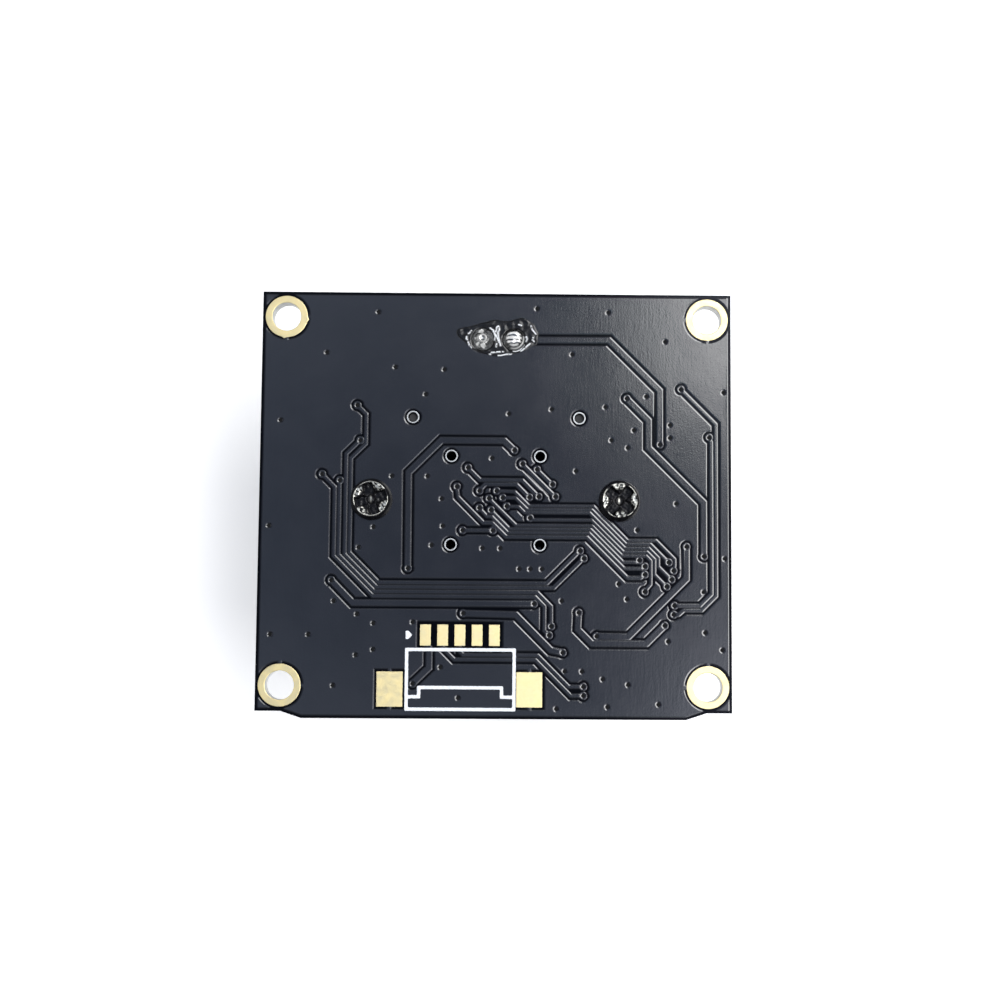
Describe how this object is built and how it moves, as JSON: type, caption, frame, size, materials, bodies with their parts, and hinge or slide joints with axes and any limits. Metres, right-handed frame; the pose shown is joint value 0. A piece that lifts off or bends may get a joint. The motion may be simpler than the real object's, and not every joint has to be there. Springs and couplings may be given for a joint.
{
  "type": "camera module",
  "caption": "Board camera: black circuit board with an M12 lens in a screwed mount, a microphone and a cable connector.",
  "frame": {"origin": "centre of the rectangle of mounting holes, on the back (solder) face of the circuit board; the optical axis passes through it", "axes": "+Z out of the back of the board along the optical axis, away from the lens; +Y towards the microphone edge; +X to the right as the back is looked at with the microphone up"},
  "size_m": [0.0344, 0.0313, 0.0182],
  "materials": {
    "board": "black solder mask over glass-fibre laminate",
    "masked_copper": "glossy black solder mask over etched copper",
    "gold_plating": "immersion gold",
    "small_gold_plating": "immersion gold",
    "pad_gold": "immersion gold",
    "anchor_gold": "immersion gold",
    "legend_ink": "white screen print",
    "mark_ink": "white screen print",
    "mount_plastic": "fine matt black moulding",
    "screw_steel": "black zinc",
    "filter_glass": "dichroic coating",
    "barrel_alloy": "black anodised, turned",
    "front_glass": "coated",
    "stop_metal": "matt black",
    "middle_glass": "coated",
    "spacer_alloy": "black anodised",
    "rear_glass": "coated",
    "retainer_alloy": "black anodised",
    "thread_lock": "cured bead",
    "sensor_package": "matt",
    "sensor_glass": "clear",
    "controller_resin": "moulded epoxy",
    "controller_tin": "tinned",
    "flash_resin": "moulded epoxy",
    "flash_tin": "tinned",
    "regulator_resin": "moulded epoxy",
    "regulator_tin": "tinned",
    "crystal_ceramic": "fired",
    "crystal_steel": "nickel plated",
    "ferrite": "ferrite with resin",
    "capacitor_ceramic": "fired",
    "resistor_glaze": "glazed film on alumina",
    "end_cap_tin": "tinned",
    "housing_nylon": "natural nylon",
    "contact_tin": "tinned",
    "tab_tin": "tinned",
    "can_alloy": "drawn, satin",
    "base_laminate": "green solder mask",
    "felt": "felt",
    "lead_tin": "tinned wire",
    "left_solder": "solder",
    "right_solder": "solder",
    "flux": "dried rosin flux"
  },
  "bodies": {
    "root": {"pcb": "board", "back_copper": "masked_copper", "mounting_hole_plating": "gold_plating", "small_hole_plating": "small_gold_plating", "connector_pads": "pad_gold", "anchor_pads": "anchor_gold", "connector_legend": "legend_ink", "pin_one_mark": "mark_ink", "lens_mount": "mount_plastic", "lens_mount_screws": "screw_steel", "ir_cut_filter": "filter_glass", "lens_barrel": "barrel_alloy", "front_lens_element": "front_glass", "aperture_stop": "stop_metal", "middle_lens_element": "middle_glass", "lens_spacers": "spacer_alloy", "rear_lens_element": "rear_glass", "lens_retaining_ring": "retainer_alloy", "thread_lock_beads": "thread_lock", "image_sensor": "sensor_package", "sensor_cover_glass": "sensor_glass", "controller_body": "controller_resin", "controller_contacts": "controller_tin", "flash_memory_body": "flash_resin", "flash_memory_leads": "flash_tin", "regulator_bodies": "regulator_resin", "regulator_leads": "regulator_tin", "crystal_base": "crystal_ceramic", "crystal_lid": "crystal_steel", "power_inductor": "ferrite", "capacitor_bodies": "capacitor_ceramic", "resistor_bodies": "resistor_glaze", "chip_end_caps": "end_cap_tin", "connector_housing": "housing_nylon", "connector_contacts": "contact_tin", "connector_anchor_tabs": "tab_tin", "microphone_can": "can_alloy", "microphone_base": "base_laminate", "microphone_felt": "felt", "microphone_leads": "lead_tin", "solder_joint_left": "left_solder", "solder_joint_right": "right_solder", "flux_residue": "flux"}
  },
  "joints": []
}
